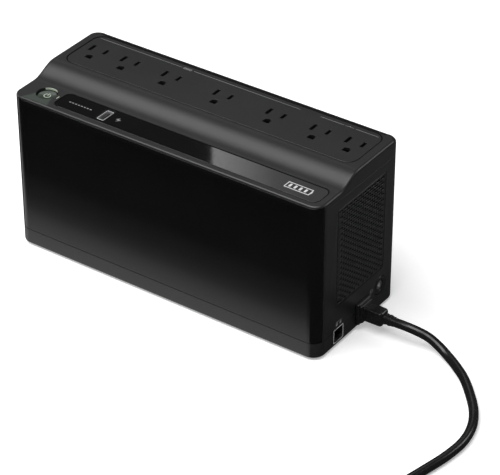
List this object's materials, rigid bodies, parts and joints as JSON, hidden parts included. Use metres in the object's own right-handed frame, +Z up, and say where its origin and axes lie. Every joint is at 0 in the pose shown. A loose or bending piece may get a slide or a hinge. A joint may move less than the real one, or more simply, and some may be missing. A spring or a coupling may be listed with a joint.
{
  "type": "uninterruptible power supply",
  "caption": "Low desktop uninterruptible power supply: black case with a stepped top, a row of mains outlets, charging port, gloss front, side vents and a mains cord.",
  "frame": {"origin": "under the middle of the case, on the plane that its feet stand on", "axes": "+X along the case's long side towards the cord, -Y out of the glossy front, +Z up"},
  "size_m": [0.4949, 0.3065, 0.139],
  "materials": {
    "case": "fine spark-eroded satin texture",
    "panel": "polished piano black",
    "window": "polished smoked black",
    "button": "satin translucent smoke green",
    "lens": "clear frosted light pipe",
    "nylon": "moulded",
    "brass": "rolled strip",
    "steel": "nickel plated",
    "lamination": "varnished laminations",
    "copper": "taped winding",
    "board": "solder mask",
    "aluminium": "extruded",
    "component": "moulded component bodies",
    "battery": "moulded battery case",
    "lead_red": "PVC insulation",
    "lead_black": "PVC insulation",
    "cord": "smooth PVC",
    "rubber": "matt rubber",
    "tie": "hook and loop band"
  },
  "bodies": {
    "case": {"top_cover": "case", "housing": "case", "vent_grille_left": "case", "vent_grille_right": "case", "base_pan": "case", "outlet_plate": "case", "front_panel": "panel", "status_window": "window", "light_pipe": "lens", "receptacle_1": "nylon", "receptacle_2": "nylon", "receptacle_3": "nylon", "receptacle_4": "nylon", "receptacle_5": "nylon", "receptacle_6": "nylon", "receptacle_7": "nylon", "usb_tongue": "nylon", "data_jack": "nylon", "breaker_body": "nylon", "busbar_neutral": "brass", "busbar_line_backup": "brass", "busbar_line_surge": "brass", "busbar_ground": "brass", "usb_shell": "steel", "battery_tab_pos": "steel", "battery_tab_neg": "steel", "plug_blade_line": "steel", "plug_blade_neutral": "steel", "plug_ground_pin": "steel", "case_screw_1": "steel", "case_screw_2": "steel", "case_screw_3": "steel", "case_screw_4": "steel", "transformer_core": "lamination", "transformer_winding": "copper", "filter_choke": "copper", "control_board": "board", "main_board": "board", "heat_sink": "aluminium", "power_switch": "component", "relay_1": "component", "relay_2": "component", "capacitor_1": "component", "capacitor_2": "component", "buzzer": "component", "battery_case": "battery", "battery_lead_pos": "lead_red", "battery_lead_neg": "lead_black", "strain_relief": "cord", "cord_lead": "cord", "cord_coil": "cord", "plug_body": "cord", "foot_1": "rubber", "foot_2": "rubber", "foot_3": "rubber", "foot_4": "rubber", "coil_tie": "tie"},
    "power_button": {"power_button": "button"},
    "breaker_reset": {"breaker_reset": "nylon"},
    "battery_door": {"battery_door": "case"}
  },
  "joints": [
    {"name": "power_button_press", "type": "slide", "parent": "case", "child": "power_button", "axis": [0, 0, -1], "range_m": [0, 0.0015], "stiffness_N_per_m": 600},
    {"name": "breaker_pop", "type": "slide", "parent": "case", "child": "breaker_reset", "axis": [1, 0, 0], "range_m": [0, 0.0045]},
    {"name": "battery_door_slide", "type": "slide", "parent": "case", "child": "battery_door", "axis": [1, 0, 0], "range_m": [0, 0.01]}
  ]
}
